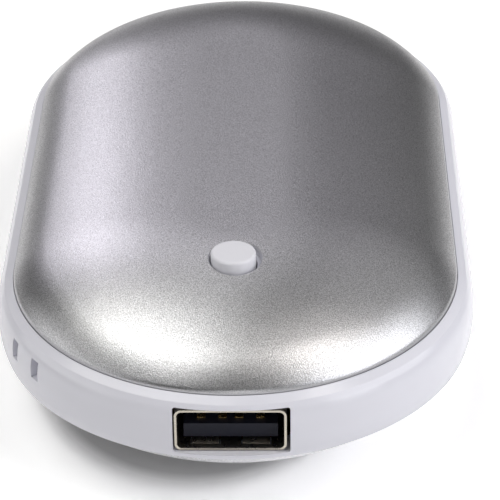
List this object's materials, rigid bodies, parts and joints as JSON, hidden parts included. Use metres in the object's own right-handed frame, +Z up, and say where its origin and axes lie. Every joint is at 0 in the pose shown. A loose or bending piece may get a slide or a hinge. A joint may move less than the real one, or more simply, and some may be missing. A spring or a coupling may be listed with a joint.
{
  "type": "rechargeable hand warmer",
  "caption": "Pebble-shaped rechargeable hand warmer: metal domes on a white ring, with a USB-A socket, a charging socket, a push button and a lanyard bar.",
  "frame": {"origin": "under the middle of the body, on the surface that the lower crown rests on", "axes": "+Z up through the crowns, -Y towards the USB-A socket, +X to the right of it; the lanyard slots are at -X -Y"},
  "size_m": [0.06, 0.1048, 0.0264],
  "materials": {
    "white_plastic": "satin gloss",
    "anodised_metal": "bead-blasted, clear anodised",
    "black_plastic": "moulded matt",
    "button_plastic": "satin, slightly translucent",
    "tinned_steel": "tinned",
    "board_green": "solder mask",
    "nickel_plate": "nickel plated",
    "socket_plastic": "moulded",
    "gold_plate": "gold flash",
    "foil_pouch": "laminated foil, dull",
    "amber_film": "polyimide film",
    "red_sleeve": "silicone",
    "black_sleeve": "silicone",
    "white_sleeve": "silicone",
    "green_resin": "dipped resin",
    "grey_foam": "closed-cell foam",
    "clear_resin": "clear cast resin",
    "ferrite": "ferrite",
    "black_resin": "moulded resin",
    "can_aluminium": "plain can"
  },
  "bodies": {
    "casing": {"frame_ring": "white_plastic", "top_shell": "anodised_metal", "bottom_shell": "anodised_metal", "upper_liner": "white_plastic", "lower_liner": "white_plastic", "switch_body": "black_plastic", "switch_cover": "tinned_steel", "switch_dome": "tinned_steel", "switch_terminals": "tinned_steel", "circuit_board": "board_green", "board_screws": "tinned_steel", "usb_a_shell": "nickel_plate", "usb_a_insulator": "socket_plastic", "usb_a_contacts": "gold_plate", "charge_shell": "nickel_plate", "charge_tongue": "socket_plastic", "charge_contacts": "gold_plate", "battery_cell": "foil_pouch", "protection_board": "amber_film", "battery_lead_positive": "red_sleeve", "battery_lead_negative": "black_sleeve", "upper_heater": "amber_film", "lower_heater": "amber_film", "upper_heater_leads": "white_sleeve", "lower_heater_leads": "white_sleeve", "thermistor": "green_resin", "thermistor_leads": "black_sleeve", "battery_foam": "grey_foam", "board_pads": "grey_foam", "status_leds": "clear_resin", "power_inductor": "ferrite", "control_chip": "black_resin", "boost_chip": "black_resin", "capacitors": "can_aluminium", "resistors": "black_resin"},
    "button": {"button_cap": "button_plastic"},
    "plunger": {"switch_plunger": "black_plastic"}
  },
  "joints": [
    {"name": "button_press", "type": "slide", "parent": "casing", "child": "button", "axis": [0, 0, -1], "range_m": [0, 0.0003], "stiffness_N_per_m": 150, "springref_m": -0.0002},
    {"name": "plunger_press", "type": "slide", "parent": "casing", "child": "plunger", "axis": [0, 0, -1], "range_m": [0, 0.0003], "stiffness_N_per_m": 150, "springref_m": -0.0002, "deforming": ["switch_dome"]}
  ],
  "couplings": [
    {"joint": "plunger_press", "follows": "button_press", "ratio": 1}
  ]
}
